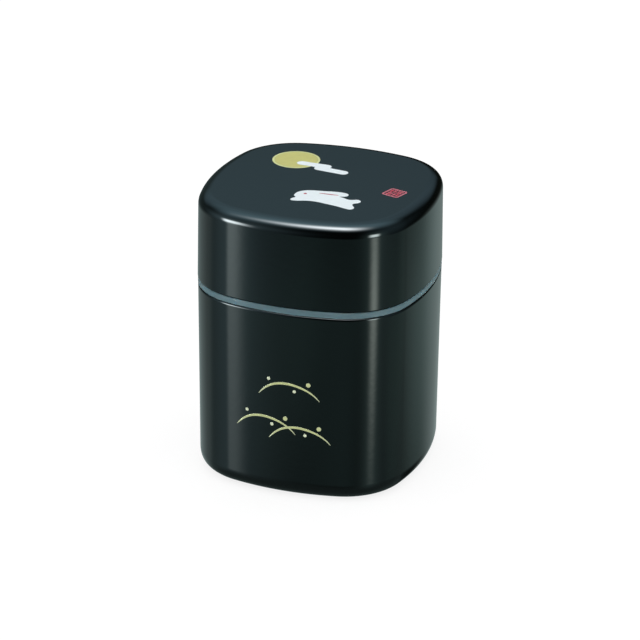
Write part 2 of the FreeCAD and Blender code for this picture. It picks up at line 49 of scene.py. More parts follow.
# ------------------------------------------------------------------------------------------
# Plan outline: four bowed sides and four corners, all tangent arcs. Offsets keep the same
# centres, so a drafted or rounded wall is a stack of rings moved along the same normals.
HALF, SIDE_R, CORNER_R = 42.0, 89.0, 25.5
SIDE_STEPS, CORNER_STEPS = 44, 44
# Half the angle of a side arc, and x = y of a corner's centre, both from tangency.
PHI = math.acos((SIDE_R - HALF) / (SIDE_R - CORNER_R) / math.sqrt(2)) - math.pi / 4
CORNER_C = (SIDE_R - CORNER_R) * math.sin(PHI)


def plan_arcs():
    """Centres, radii and angles of a ring's points, anticlockwise from the +X side's -Y end."""
    arcs = []
    for quarter in range(4):
        turn = quarter * math.pi / 2
        cos, sin = math.cos(turn), math.sin(turn)
        side_centre = ((HALF - SIDE_R) * cos, (HALF - SIDE_R) * sin)
        corner_centre = (CORNER_C * (cos - sin), CORNER_C * (sin + cos))
        for i in range(SIDE_STEPS):
            arcs.append((side_centre, SIDE_R, turn - PHI + 2 * PHI * i / SIDE_STEPS))
        for i in range(CORNER_STEPS):
            angle = turn + PHI + (math.pi / 2 - 2 * PHI) * i / CORNER_STEPS
            arcs.append((corner_centre, CORNER_R, angle))
    return [np.array(column) for column in zip(*arcs)]


CENTRES, RADII, ANGLES = plan_arcs()
NORMALS = np.stack([np.cos(ANGLES), np.sin(ANGLES)], 1)
RING = len(ANGLES)


def plan_ring(offset):
    return CENTRES + NORMALS * (RADII + offset)[:, None]


def eased_corner(turn, ease, count, samples=1200):
    """A corner of unit apex distance whose curvature fades in and out, like thick paint.
    Returns its tangent length, points along and across the first leg, and headings."""
    t = np.linspace(0, 1, samples + 1)
    heading = turn * (t - ease * np.sin(2 * np.pi * t) / (2 * np.pi))
    cos, sin = np.cos(heading), np.sin(heading)
    x = np.concatenate([[0], np.cumsum((cos[1:] + cos[:-1]) / 2)]) / samples
    y = np.concatenate([[0], np.cumsum((sin[1:] + sin[:-1]) / 2)]) / samples
    reach = x[-1] - y[-1] / math.tan(turn)
    apex = math.hypot(reach - x[samples // 2], y[samples // 2])
    pick = np.round(np.linspace(0, samples, count + 1)).astype(int)
    return reach / apex, x[pick] / apex, y[pick] / apex, heading[pick]


def unit(vector):
    return vector / np.hypot(*vector)


def rounded_profile(corners, step=1.6, arc_step=math.radians(7.5)):
    """Points and right-hand normals along a polyline of (offset, z, radius, ease) corners.
    A missing radius leaves the corner sharp. An ease fades the arc into its neighbours,
    through the same apex."""
    points, normals = [], []

    def put(point, normal):
        if points and np.hypot(*(np.array(points[-1]) - point)) < 1e-7:
            return
        points.append(tuple(point))
        normals.append(tuple(normal))

    def run(start, end):
        leg = end - start
        length = np.hypot(*leg)
        if length < 1e-9:
            return
        count = max(1, int(math.ceil(length / step)))
        for i in range(count + 1):
            put(start + leg * i / count, np.array([leg[1], -leg[0]]) / length)

    stops = [(np.array(corner[:2], float), *(*corner[2:], 0.0, 0.0)[:2]) for corner in corners]
    at = stops[0][0]
    for (apex, radius, ease), (following, _, _) in zip(stops[1:-1], stops[2:]):
        back, ahead = unit(at - apex), unit(following - apex)
        half = math.acos(max(-1, min(1, float(back @ ahead)))) / 2
        if radius <= 0 or half > math.pi / 2 - 1e-4:
            run(at, apex)
            at = apex
            continue
        if ease > 0:
            turn = math.pi - 2 * half
            count = max(6, int(math.ceil(1.4 * turn / arc_step)))
            reach, along, across, heading = eased_corner(turn, ease, count)
            size = radius * (1 / math.sin(half) - 1)
            start = apex + back * reach * size
            inner = unit(ahead - back * float(back @ ahead))
            run(at, start)
            for a, b, angle in zip(along * size, across * size, heading):
                way = -back * math.cos(angle) + inner * math.sin(angle)
                put(start - back * a + inner * b, np.array([way[1], -way[0]]))
            at = apex + ahead * reach * size
            continue
        reach = radius / math.tan(half)
        start, end = apex + back * reach, apex + ahead * reach
        centre = apex + unit(back + ahead) * (radius / math.sin(half))
        run(at, start)
        angle_1, angle_2 = (math.atan2(*(p - centre)[::-1]) for p in (start, end))
        turn = (angle_2 - angle_1 + math.pi) % (2 * math.pi) - math.pi
        count = max(3, int(math.ceil(abs(turn) / arc_step)))
        for i in range(count + 1):
            angle = angle_1 + turn * i / count
            out = np.array([math.cos(angle), math.sin(angle)])
            put(centre + out * radius, out * (1 if turn > 0 else -1))
        at = end
    run(at, stops[-1][0])
    return points, normals


class Shell:
    """A closed mesh made of level rings of RING points, each with exact shading normals."""

    FLAT = np.zeros((RING, 2))
    FLAT_SHARES = (0.2, 0.4, 0.6, 0.8, 1.0)
    FLAT_SHRINK = 0.98  # how far the innermost ring of a flat has closed

    def __init__(self):
        self.points, self.normals = [], []

    def ring(self, plan, z, across, up):
        """Adds a ring; its normals have the plan part across and the vertical part up."""
        self.points.append(np.column_stack([plan, np.full(RING, z)]))
        self.normals.append(np.column_stack([across, np.full(RING, up)]))

    def sweep(self, corners, **steps):
        for (offset, z), (out, up) in zip(*rounded_profile(corners, **steps)):
            self.ring(plan_ring(offset), z, NORMALS * out, up)

    def flat(self, offset, z, up):
        """A flat inside an outline: from the middle out if it faces down, else inwards."""
        outline = plan_ring(offset)
        for share in self.FLAT_SHARES if up > 0 else reversed(self.FLAT_SHARES):
            self.ring(outline * (1 - share * self.FLAT_SHRINK), z, self.FLAT, up)

    def build(self, name, z_first, z_last=None):
        """Fans close the first and last rings at these heights. Without z_last, one polygon
        closes the last ring."""
        last = (len(self.points) - 1) * RING
        verts, norms = np.concatenate(self.points), np.concatenate(self.normals)
        around = [(i, (i + 1) % RING) for i in range(RING)]
        faces = [(a + i, a + k, a + RING + k, a + RING + i)
                 for a in range(0, last, RING) for i, k in around]
        middles = [(*self.points[0].mean(0)[:2], z_first)]
        middle_norms = [self.normals[0][0]]
        first_fan = [(len(verts), k, i) for i, k in around]
        if z_last is None:
            faces += [tuple(last + i for i in range(RING))] + first_fan
        else:
            middles.append((*self.points[-1].mean(0)[:2], z_last))
            middle_norms.append(self.normals[-1][0])
            faces += first_fan + [(len(verts) + 1, last + i, last + k) for i, k in around]
        verts, norms = np.vstack([verts, middles]), np.vstack([norms, middle_norms])
        mesh = bpy.data.meshes.new(name)
        mesh.from_pydata([tuple(v) for v in verts * MM], [], faces)
        mesh.polygons.foreach_set("use_smooth", np.ones(len(mesh.polygons), bool))
        mesh.update()
        mesh.normals_split_custom_set_from_vertices(
            [tuple(n / max(np.linalg.norm(n), 1e-9)) for n in norms])
        return link(name, mesh)


def link(name, data):
    made = bpy.data.objects.new(name, data)
    scene.collection.objects.link(made)
    return made


def closed_shell(name, corners, **steps):
    """A profile from a flat facing down to a flat facing up, both closed at the middle."""
    shell = Shell()
    shell.flat(*corners[0], -1.0)
    shell.sweep(corners, **steps)
    shell.flat(*corners[-1], 1.0)
    return shell.build(name, corners[0][1], corners[-1][1])


# ------------------------------------------------------------------------------------------
# Shells. Heights along z, offsets from the plan outline (negative is inwards).
H_BODY, H_SEAT, H_FLANGE, H_LID, H_TOP = 71.6, 71.62, 73.82, 73.85, 106.25
TAN_BODY, TAN_LID, TAN_SEAL, TAN_DISH = (
    math.tan(math.radians(draft)) for draft in (0.38, 0.73, 1.0, 1.3))
BODY_MOUTH, BODY_WALL = -0.14, 2.6
LID_WALL, LID_ROOF = 2.4, 2.6
FLAT_IN = 9.0  # from a wall in to where a flat's shrinking rings begin

# Body: a cup with a rounded foot, a shallow underside recess and a rounded mouth.
FOOT_R, FOOT_BAND, RECESS, FLOOR_Z = 5.5, 3.6, 0.9, 3.2


def body_outer(z):
    return BODY_MOUTH - (H_BODY - z) * TAN_BODY


def body_inner(z):
    return body_outer(z) - BODY_WALL


foot_in = body_outer(0) - FOOT_R - FOOT_BAND
# Corners of each profile: offset, z, radius, ease.
body = closed_shell("body_shell", [
    (foot_in - 3.0, RECESS),
    (foot_in - 0.06, RECESS, 0.25),
    (foot_in, 0, 0.36),
    (body_outer(0), 0, FOOT_R, 0.45),
    (body_outer(H_BODY), H_BODY, 0.85, 0.9),
    (body_inner(H_BODY), H_BODY, 0.4),
    (body_inner(FLOOR_Z), FLOOR_Z, 4.0),
    (body_inner(FLOOR_Z) - FLAT_IN, FLOOR_Z),
])


# Outer lid: a deep cap, drafted in towards the top.
def lid_outer(z):
    return -(z - H_LID) * TAN_LID


def lid_inner(z):
    return lid_outer(z) - LID_WALL


roof_under = H_TOP - LID_ROOF
lid = closed_shell("lid_shell", [
    (lid_inner(roof_under) - FLAT_IN, roof_under),
    (lid_inner(roof_under), roof_under, 2.6),
    (lid_inner(H_LID), H_LID, 0.3),
    (lid_outer(H_LID), H_LID, 0.5, 0.5),
    (lid_outer(H_TOP), H_TOP, 4.4, 0.3),
    (lid_outer(H_TOP) - FLAT_IN, H_TOP),
], arc_step=math.radians(5))

# Seal lid: a flange (the pale band), a plug skirt with two beads, a locating collar, a dished
# panel with a stiffening ring, and a pinch bar along X.
SKIN = 1.2
PLUG_GAP, COLLAR_GAP, FLANGE = 0.12, 0.2, -0.1
SKIRT_LOW = H_BODY - 7.0
PANEL_UNDER = H_BODY - 5.6
PANEL = PANEL_UNDER + SKIN
COLLAR_TOP = H_FLANGE + 5.0
BEAD_DROPS, BEAD_OUT = (3.8, 1.8), 0.07
RIB_H, RIB_WIDE, RIB_LEAN = 0.8, 1.4, 0.06
BAR_LONG, BAR_WIDE, BAR_H = 26.0, 2.6, 8.2
BAR_FOOT = 0.5  # small round where the bar meets the panel


def plug(z):
    return BODY_MOUTH - BODY_WALL - PLUG_GAP - (H_BODY - z) * TAN_SEAL


def collar(z):
    return -LID_WALL - COLLAR_GAP - (z - H_FLANGE) * TAN_SEAL


def dish(z):
    return collar(COLLAR_TOP) - SKIN - (COLLAR_TOP - z) * TAN_DISH


def bead(z):
    return [
        (plug(z - 0.75), z - 0.75, 0.25),
        (plug(z) + BEAD_OUT, z - 0.5, 0.3),
        (plug(z) + BEAD_OUT, z - 0.2, 0.3),
        (plug(z + 0.05), z + 0.05, 0.25),
    ]


def slot_ring(length, width, spacing):
    """Points and normals of a stadium outline along X, shared out like the spacing ring's."""
    radius, half_span = width / 2, length / 2 - width / 2
    span, quarter = 2 * half_span, math.pi * radius / 2
    total = 2 * span + 2 * math.pi * radius
    sides = np.hypot(*(np.roll(spacing, -1, 0) - spacing).T)
    shares = np.concatenate([[0], np.cumsum(sides)[:-1]]) / sides.sum()
    # The spacing ring's first point lies a little to the -Y side of the x axis.
    shift = radius * math.atan2(spacing[0][1], spacing[0][0]) / total
    centres, angles = [], []
    for share in (shares + shift) % 1.0:
        walk = share * total
        if walk <= quarter:
            centre, angle = half_span, walk / radius
        elif walk <= quarter + span:
            centre, angle = half_span - (walk - quarter), math.pi / 2
        elif walk <= 3 * quarter + span:
            centre, angle = -half_span, math.pi / 2 + (walk - quarter - span) / radius
        elif walk <= 3 * quarter + 2 * span:
            centre, angle = -half_span + (walk - 3 * quarter - span), 1.5 * math.pi
        else:
            centre = half_span
            angle = 1.5 * math.pi + (walk - 3 * quarter - 2 * span) / radius
        centres.append((centre, 0.0))
        angles.append(angle)
    normals = np.column_stack([np.cos(angles), np.sin(angles)])
    return np.array(centres) + normals * radius, normals


def build_seal():
    skirt_in = plug(SKIRT_LOW) - SKIN
    under_end = skirt_in - 12
    rib_out = dish(PANEL) - 9.0
    rib_in = rib_out - RIB_WIDE
    panel_end = rib_out - 3.4
    shell = Shell()
    shell.flat(under_end, PANEL_UNDER, -1.0)
    shell.sweep([
        (under_end, PANEL_UNDER),
        (skirt_in, PANEL_UNDER, 0.4),
        (skirt_in, SKIRT_LOW, 0.3),
        (plug(SKIRT_LOW), SKIRT_LOW, 0.36),
        *(corner for drop in BEAD_DROPS for corner in bead(H_BODY - drop)),
        (plug(H_SEAT), H_SEAT, 0.2),
        (FLANGE, H_SEAT, 0.3),
        (FLANGE, H_FLANGE, 0.3),
        (collar(H_FLANGE), H_FLANGE, 0.2),
        (collar(COLLAR_TOP), COLLAR_TOP, 0.42),
        (dish(COLLAR_TOP), COLLAR_TOP, 0.42),
        (dish(PANEL), PANEL, 1.2),
        (rib_out + RIB_LEAN, PANEL, 0.3),
        (rib_out, PANEL + RIB_H, 0.32),
        (rib_in, PANEL + RIB_H, 0.32),
        (rib_in - RIB_LEAN, PANEL, 0.3),
        (panel_end, PANEL),
    ])
    # The panel blends from the plan outline to the foot of the pinch bar.
    outline = plan_ring(panel_end)
    slot, slot_normals = slot_ring(BAR_LONG, BAR_WIDE, outline)
    foot = slot + slot_normals * BAR_FOOT
    for i in range(1, 7):
        t = i / 6
        shell.ring(outline * (1 - t) + foot * t, PANEL, shell.FLAT, 1.0)
    bar_top = PANEL + BAR_H
    profile = rounded_profile([
        (1.5, PANEL),
        (0.0, PANEL, BAR_FOOT),
        (-BAR_H * TAN_SEAL, bar_top, 1.04),
        (-BAR_WIDE / 2 + 0.02, bar_top),
    ], step=1.2)
    for (offset, z), (out, up) in zip(*profile):
        if offset <= BAR_FOOT + 1e-6:
            shell.ring(slot + slot_normals * offset, z, slot_normals * out, up)
    return shell.build("seal_shell", PANEL_UNDER)


seal = build_seal()

# ------------------------------------------------------------------------------------------
# Outlines of the printed films: closed curves as arrays of (x, y).


def natural_piece(bend_1, bend_2, point_1, point_2, step, t):
    """A cubic spline between two points, from their second derivatives, at t of step."""
    return (bend_1 * (step - t) ** 3 / (6 * step) + bend_2 * t ** 3 / (6 * step)
            + (point_1 / step - bend_1 * step / 6) * (step - t)
            + (point_2 / step - bend_2 * step / 6) * t)


def closed_spline(points, per=14):
    """Periodic cubic spline over chord length."""
    p = np.array(points, float)
    n = len(p)
    steps = np.hypot(*(np.roll(p, -1, 0) - p).T)
    matrix, right = np.zeros((n, n)), np.zeros((n, 2))
    for i in range(n):
        before, after, k = steps[i - 1], steps[i], (i + 1) % n
        matrix[i, (i - 1) % n] += before
        matrix[i, i] += 2 * (before + after)
        matrix[i, k] += after
        right[i] = 6 * ((p[k] - p[i]) / after - (p[i] - p[i - 1]) / before)
    bend = np.linalg.solve(matrix, right)
    out = []
    for i in range(n):
        k, step = (i + 1) % n, steps[i]
        for j in range(per):
            out.append(natural_piece(bend[i], bend[k], p[i], p[k], step, step * j / per))
    return np.array(out)


def open_spline(points, per):
    """Natural cubic spline through rows, over the length of their first two columns."""
    p = np.array(points, float)
    n = len(p)
    steps = np.hypot(*np.diff(p[:, :2], axis=0).T)
    matrix, right = np.eye(n), np.zeros_like(p)
    for i in range(1, n - 1):
        before, after = steps[i - 1], steps[i]
        matrix[i, i - 1:i + 2] = before, 2 * (before + after), after
        right[i] = 6 * ((p[i + 1] - p[i]) / after - (p[i] - p[i - 1]) / before)
    bend = np.linalg.solve(matrix, right)
    out = []
    for i, step in enumerate(steps):
        for t in np.linspace(0, step, per, endpoint=False):
            out.append(natural_piece(bend[i], bend[i + 1], p[i], p[i + 1], step, t))
    return np.vstack([out, p[-1:]])


def turned(points, degrees, centre):
    angle = math.radians(degrees)
    x, y = points.T
    return np.column_stack([centre[0] + x * math.cos(angle) - y * math.sin(angle),
                            centre[1] + x * math.sin(angle) + y * math.cos(angle)])


def ellipse(centre, radius_x, radius_y, tilt=0.0, count=96):
    a = np.linspace(0, 2 * np.pi, count, endpoint=False)
    return turned(np.column_stack([radius_x * np.cos(a), radius_y * np.sin(a)]), tilt, centre)


def rounded_box(x, y, wide, high, radius, count=8):
    out = []
    for k, (sx, sy) in enumerate(((1, 1), (-1, 1), (-1, -1), (1, -1))):
        for i in range(count + 1):
            a = math.pi / 2 * (k + i / count)
            out.append((x + sx * (wide / 2 - radius) + radius * math.cos(a),
                        y + sy * (high / 2 - radius) + radius * math.sin(a)))
    return np.array(out)


def signed_area(p):
    x, y = p.T
    return 0.5 * float(np.sum(x * np.roll(y, -1) - y * np.roll(x, -1)))


def inward(p):
    """Unit normals pointing into an anticlockwise outline."""
    t = np.roll(p, -1, 0) - np.roll(p, 1, 0)
    t /= np.maximum(np.hypot(*t.T), 1e-9)[:, None]
    return np.column_stack([-t[:, 1], t[:, 0]])


def respaced(p, gap):
    """The outline again, with points spaced evenly."""
    closed = np.vstack([p, p[:1]])
    walked = np.concatenate([[0], np.cumsum(np.hypot(*np.diff(closed, axis=0).T))])
    count = max(12, int(round(walked[-1] / gap)))
    u = np.linspace(0, walked[-1], count, endpoint=False)
    return np.column_stack([np.interp(u, walked, closed[:, axis]) for axis in (0, 1)])


def inside_loops(points, loops):
    """Even-odd test of many points against closed outlines."""
    x, y = points[:, 0][:, None], points[:, 1][:, None]
    odd = np.zeros(len(points), bool)
    for p in loops:
        q = np.roll(p, -1, 0)
        span = (p[:, 1] > y) != (q[:, 1] > y)
        with np.errstate(divide="ignore", invalid="ignore"):
            at = p[:, 0] + (y - p[:, 1]) * (q[:, 0] - p[:, 0]) / (q[:, 1] - p[:, 1])
        odd ^= (np.sum(span & (x < at), 1) % 2).astype(bool)
    return odd


def edge_distance(points, loops):
    best = np.full(len(points), 1e9)
    for p in loops:
        d = np.roll(p, -1, 0) - p
        squared = np.maximum((d * d).sum(1), 1e-12)
        t = np.clip(((points[:, None, :] - p) * d).sum(2) / squared, 0, 1)
        near = p + d * t[..., None]
        away = np.sqrt(((points[:, None, :] - near) ** 2).sum(2)).min(1)
        best = np.minimum(best, away)
    return best


def trace(field, low, high, step=0.12):
    """Outlines where field(x, y) crosses zero, by marching squares; largest first."""
    xs, ys = (np.arange(low[k], high[k] + step, step) for k in (0, 1))
    f = field(*np.meshgrid(xs, ys, indexing="ij"))
    links, where = {}, {}
    for i in range(len(xs) - 1):
        for j in range(len(ys) - 1):
            hits = []
            # The cell's edges: start (a, b) and direction.
            for a, b, di, dj in ((i, j, 1, 0), (i + 1, j, 0, 1), (i, j + 1, 1, 0), (i, j, 0, 1)):
                here, there = f[a, b], f[a + di, b + dj]
                if (here > 0) != (there > 0):
                    t = here / (here - there)
                    where[a, b, di] = (xs[a] + step * di * t, ys[b] + step * dj * t)
                    hits.append((a, b, di))
            for one, other in zip(hits[::2], hits[1::2]):
                links.setdefault(one, []).append(other)
                links.setdefault(other, []).append(one)
    loops = []
    while links:
        key = next(iter(links))
        loop = []
        while key in links:
            loop.append(where[key])
            key = next((k for k in links.pop(key) if k in links), None)
        if len(loop) > 8:
            loops.append(respaced(np.array(loop), step * 1.5))
    return sorted(loops, key=lambda p: -abs(signed_area(p)))


def capsule_field(x, y, start, end, radius):
    """Distance inside a round-ended bar."""
    px, py, dx, dy = x - start[0], y - start[1], end[0] - start[0], end[1] - start[1]
    t = np.clip((px * dx + py * dy) / (dx * dx + dy * dy), 0, 1)
    return radius - np.hypot(px - dx * t, py - dy * t)


def melt(*fields, blend=0.3):
    """Union of fields with softly filled corners."""
    out = fields[0]
    for g in fields[1:]:
        w = np.clip(0.5 + 0.5 * (out - g) / blend, 0, 1)
        out = g * (1 - w) + out * w + blend * w * (1 - w)
    return out


# ------------------------------------------------------------------------------------------
# Film meshes. Attributes: ink_in runs from 0 at the rim to 1 inside; the second sets the share of
# pale ink, which is painted highlight on the gold blade tips and small dew drops and a lighter
# print tone on the stamp.


def fill(loops, extra):
    """Triangles over the loops with extra points inside. Returns the points, the faces, and
    each point's place in the loops or -1."""
    verts, edges = [], []
    for p in loops:
        base = len(verts)
        verts += [Vector(v) for v in p]
        edges += [(base + i, base + (i + 1) % len(p)) for i in range(len(p))]
    count = len(verts)
    verts += [Vector(v) for v in extra]
    out, out_edges, faces, origin, edge_origin, _ = delaunay_2d_cdt(verts, edges, [], 0, 1e-7)
    border = {frozenset(e) for e, source in zip(out_edges, edge_origin) if source}
    face_edges = [[frozenset((f[i], f[(i + 1) % len(f)])) for i in range(len(f))] for f in faces]
    sides = {}
    for k, own in enumerate(face_edges):
        for e in own:
            sides.setdefault(e, []).append(k)
    # Flood from the outside; crossing a border switches between filled and empty.
    filled = {who[0]: e in border for e, who in sides.items() if len(who) == 1}
    queue = list(filled)
    while queue:
        k = queue.pop()
        for e in face_edges[k]:
            for other in sides[e]:
                if other not in filled:
                    filled[other] = filled[k] != (e in border)
                    queue.append(other)
    source = [next((i for i in group if i < count), -1) for group in origin]
    kept = [f for k, f in enumerate(faces) if filled.get(k)]
    return np.array([tuple(v) for v in out]), kept, source


def film_bmesh():
    bm = bmesh.new()
    return bm, bm.verts.layers.float.new("ink_in"), bm.verts.layers.float.new("tone")


def link_film(name, bm, place):
    """Smooths the film, moves it with place (if given) and scales it to metres."""
    bmesh.ops.recalc_face_normals(bm, faces=bm.faces)
    for f in bm.faces:
        f.smooth = True
    mesh = bpy.data.meshes.new(name)
    bm.to_mesh(mesh)
    bm.free()
    points = np.array([v.co for v in mesh.vertices]).reshape(-1, 3)
    if place is not None:
        points = place(points)
    mesh.vertices.foreach_set("co", (points * MM).astype(np.float32).ravel())
    mesh.update()
    return link(name, mesh)


def film(name, groups, z, thick, rim, soft, place=None, tones=None, grid=1.3):
    """A slab per group [outer outline, hole, ...] with a rim rounded over a width of rim.
    The ink_in attribute rises over a width of soft; an optional number per group sets the share
    of pale ink, which on the small dew drops is painted highlight."""
    bm, ink_layer, tone_and_highlight_layer = film_bmesh()
    # Rim rings: inset, height, ink_in.
    levels = [(0.0, 0.0, 0.0), (0.0, thick * 0.45, 0.0), (rim * 0.3, thick * 0.86, 0.1),
              (rim, thick, 0.25)]

    def put(x, y, up, value, pale_share):
        v = bm.verts.new((x, y, z + up))
        v[ink_layer] = value
        v[tone_and_highlight_layer] = pale_share
        return v

    for order, loops in enumerate(groups):
        pale_share = tones[order] if tones else 0.0
        tops, lows, top_loops, low_loops = [], [], [], []
        for index, p in enumerate(loops):
            if (signed_area(p) < 0) != (index > 0):
                p = p[::-1]
            n = inward(p)
            rings = [[put(x, y, up, value, pale_share) for x, y in p + n * inset]
                     for inset, up, value in levels]
            for a, b in zip(rings, rings[1:]):
                for i in range(len(p)):
                    k = (i + 1) % len(p)
                    bm.faces.new((a[i], a[k], b[k], b[i]))
            tops += rings[-1]
            lows += rings[0]
            top_loops.append(p + n * rim)
            low_loops.append(p)
        # Inner points: a row just inside the rim, and a staggered grid within it.
        row = np.vstack([inward(p) * soft + p for p in top_loops])[::2]
        low, high = np.vstack(top_loops).min(0), np.vstack(top_loops).max(0)
        gx, gy = np.meshgrid(*(np.arange(low[k], high[k], grid) for k in (0, 1)))
        gx = gx + (np.arange(len(gx)) % 2)[:, None] * grid / 2
        lattice = np.column_stack([gx.ravel(), gy.ravel()])
        extra = np.vstack([
            c[inside_loops(c, top_loops) & (edge_distance(c, top_loops) > least)]
            for c, least in ((row, 0.88 * soft), (lattice, soft + grid * 0.35))])
        points, faces, source = fill(top_loops, extra)
        depths = edge_distance(points, top_loops)
        made = [tops[own] if own >= 0
                else put(x, y, thick, 0.25 + 0.75 * min(1.0, depth / soft), pale_share)
                for (x, y), own, depth in zip(points, source, depths)]
        for f in faces:
            bm.faces.new([made[i] for i in f])
        _, faces, source = fill(low_loops, ())
        for f in faces:
            bm.faces.new([lows[source[i]] for i in f][::-1])
    return link_film(name, bm, place)


def ribbon(name, rail_pairs, thick, place):
    """Domed strips, each between an upper and a lower rail."""
    bm, ink_layer, tone_and_highlight_layer = film_bmesh()
    for upper, lower in rail_pairs:
        rows = []
        for k, (high, low) in enumerate(zip(upper, lower)):
            row = []
            for s in (-1, -0.96, -0.82, -0.5, 0, 0.5, 0.82, 0.96, 1):
                p = low + (high - low) * (s + 1) / 2
                v = bm.verts.new((p[0], p[1], thick * (1 - abs(s) ** 5) ** 0.5 - 0.012))
                v[ink_layer] = 1 - abs(s)
                # Paler ink towards both ends of each blade: a painted highlight on the gold tips.
                v[tone_and_highlight_layer] = 0.75 * abs(2 * k / (len(upper) - 1) - 1) ** 3
                row.append(v)
            for s in (0.6, 0.0, -0.6):
                p = low + (high - low) * (s + 1) / 2
                row.append(bm.verts.new((p[0], p[1], -0.02)))
            rows.append(row)
        wide = len(rows[0])
        for a, b in zip(rows, rows[1:]):
            for i in range(wide):
                k = (i + 1) % wide
                bm.faces.new((a[i], b[i], b[k], a[k]))
        bm.faces.new(rows[0])
        bm.faces.new(rows[-1][::-1])
    return link_film(name, bm, place)


# ------------------------------------------------------------------------------------------
# Prints on the lid's top: x, y.
FILM = 0.06  # how far a film stands above its surface
SINK = 0.01  # how far it reaches below

# Round-ended bars that melt into the cloud: start, end, radius.
CLOUD = [
    ((-13.0, 15.4), (-3.3, 15.0), 1.8),
    ((-5.4, 13.8), (-3.0, 13.7), 1.4),
    ((-5.3, 12.5), (4.3, 11.2), 1.85),
]
MOON_C, MOON_R = (-16.1, 18.0), 8.75
# Points on the rabbit's outline.
RABBIT = [
    (-4.9, -15.2), (-4.6, -12.9), (-2.9, -10.7), (0.2, -9.4), (3.6, -8.8), (7.2, -8.1),
    (10.8, -7.9), (13.2, -9.0), (13.0, -11.0), (10.8, -12.0), (12.6, -12.7), (14.9, -13.7),
    (16.3, -13.4), (17.9, -12.7), (19.4, -13.9), (18.9, -15.8), (17.7, -16.9), (18.0, -18.7),
    (19.2, -20.7), (18.7, -22.3), (16.4, -22.3), (13.0, -21.2), (9.0, -20.3), (4.6, -19.5),
    (0.8, -19.8), (-2.2, -20.9), (-4.5, -20.7), (-4.4, -19.0), (-3.7, -17.6), (-4.5, -16.7),
]
STAMP_C, STAMP_TILT = (28.0, -1.7), -18.0
STAMP_SIDE, STAMP_LINE, STAMP_GAP = 7.0, 0.62, 0.42
STAMP_TONES = (1.0, 0.15, 0.45, 0.0, 0.3, 0.4, 0.05, 0.25, 0.5)  # the frame, then the bars


def cloud_field(x, y):
    return melt(*[capsule_field(x, y, *bar) for bar in CLOUD])


def moon_field(x, y):
    """A disc with the cloud, slightly grown, cut out of it."""
    outside = np.hypot(x - MOON_C[0], y - MOON_C[1]) - MOON_R
    return -melt(outside, cloud_field(x, y) + 0.03, blend=0.12)


def stamp_groups():
    """A square frame around four cells, each of two bars: along x in the cells on one
    diagonal, along y in the others."""
    inner = STAMP_SIDE - 2 * STAMP_LINE
    groups = [[rounded_box(0, 0, STAMP_SIDE, STAMP_SIDE, 1.1),
               rounded_box(0, 0, inner, inner, 0.6)]]
    cell = (inner - 3 * STAMP_GAP) / 2
    bar = (cell - STAMP_GAP) / 2
    for sx in (-1, 1):
        for sy in (-1, 1):
            x, y = sx * (cell + STAMP_GAP) / 2, sy * (cell + STAMP_GAP) / 2
            for way in (-1, 1):
                shift = way * (bar + STAMP_GAP) / 2
                box = (x, y + shift, cell, bar) if sx == sy else (x + shift, y, bar, cell)
                groups.append([rounded_box(*box, bar * 0.3, 4)])
    return [[turned(p, STAMP_TILT, STAMP_C) for p in group] for group in groups]


def lid_film(name, groups, **look):
    return film(name, groups, H_TOP - SINK, FILM + SINK, **look)


cloud = lid_film("cloud_film", [[trace(cloud_field, (-16, 9), (8, 19))[0]]], rim=0.05, soft=0.35)
moon = lid_film("moon_film", [[p] for p in trace(moon_field, (-26, 8), (-6, 28))],
                rim=0.05, soft=0.3)
rabbit = lid_film("rabbit_film", [[respaced(closed_spline(RABBIT), 0.2)]], rim=0.05, soft=0.3)
# A round spot and a long flat ellipse on top of the rabbit.
detail = film("rabbit_detail_film",
              [[ellipse((-1.5, -13.4), 0.6, 0.6)], [ellipse((6.6, -11.2), 3.7, 0.36, tilt=2.0)]],
              H_TOP + FILM - SINK, 0.03, rim=0.03, soft=0.1)
stamp = lid_film("stamp_film", stamp_groups(), rim=0.04, soft=0.08, tones=STAMP_TONES)

# ------------------------------------------------------------------------------------------
# Prints on the body's front wall: x, z.
BLADES = [(-8.75, 39.1), (-17.45, 25.1), (-4.75, 22.35)]  # left ends of the grass blades
SPAN, RISE, THICK = 22.7, 5.6, 0.94
# Middle line of a blade: shares of SPAN, of RISE and of the width THICK.
BLADE_LINE = [
    (0.0, 0.054, 0.17), (0.06, 0.33, 0.53), (0.125, 0.571, 0.72), (0.25, 0.864, 0.91),
    (0.375, 0.9875, 1.0), (0.5, 1.0, 1.0), (0.625, 0.916, 0.93), (0.75, 0.75, 0.8),
    (0.875, 0.477, 0.6), (0.94, 0.261, 0.44), (1.0, 0.0, 0.17),
]
# Dew drops: blade, x and z from the blade's left end, radius.
DROPS = [
    (0, 3.85, 6.7, 0.62), (0, 18.65, 6.05, 0.84), (0, 13.55, 2.95, 0.6),
    (1, 4.05, 6.85, 0.62), (1, 18.9, 5.9, 0.84), (1, 13.85, 3.0, 0.62),
    (2, 18.55, 6.0, 0.84), (2, 13.55, 2.95, 0.6),
]
DROP_SINK = 0.015


def on_front(points):
    """Bends a flat drawing of (x, z, outward) onto the body's front wall."""
    x, z, out = points.T
    radius = SIDE_R + body_outer(z) + out
    return np.column_stack([x, SIDE_R - HALF - np.sqrt(radius * radius - x * x), z])


def blade(x, z):
    """Upper and lower edge of a blade."""
    line = open_spline([(x + along * SPAN, z + up * RISE, wide * THICK)
                        for along, up, wide in BLADE_LINE], 10)
    t = np.gradient(line[:, :2], axis=0)
    t /= np.hypot(*t.T)[:, None]
    n = np.column_stack([-t[:, 1], t[:, 0]])
    return [line[:, :2] + n * line[:, 2:] * s for s in (0.5, -0.5)]


grass = ribbon("grass_film", [blade(*place) for place in BLADES], FILM, on_front)
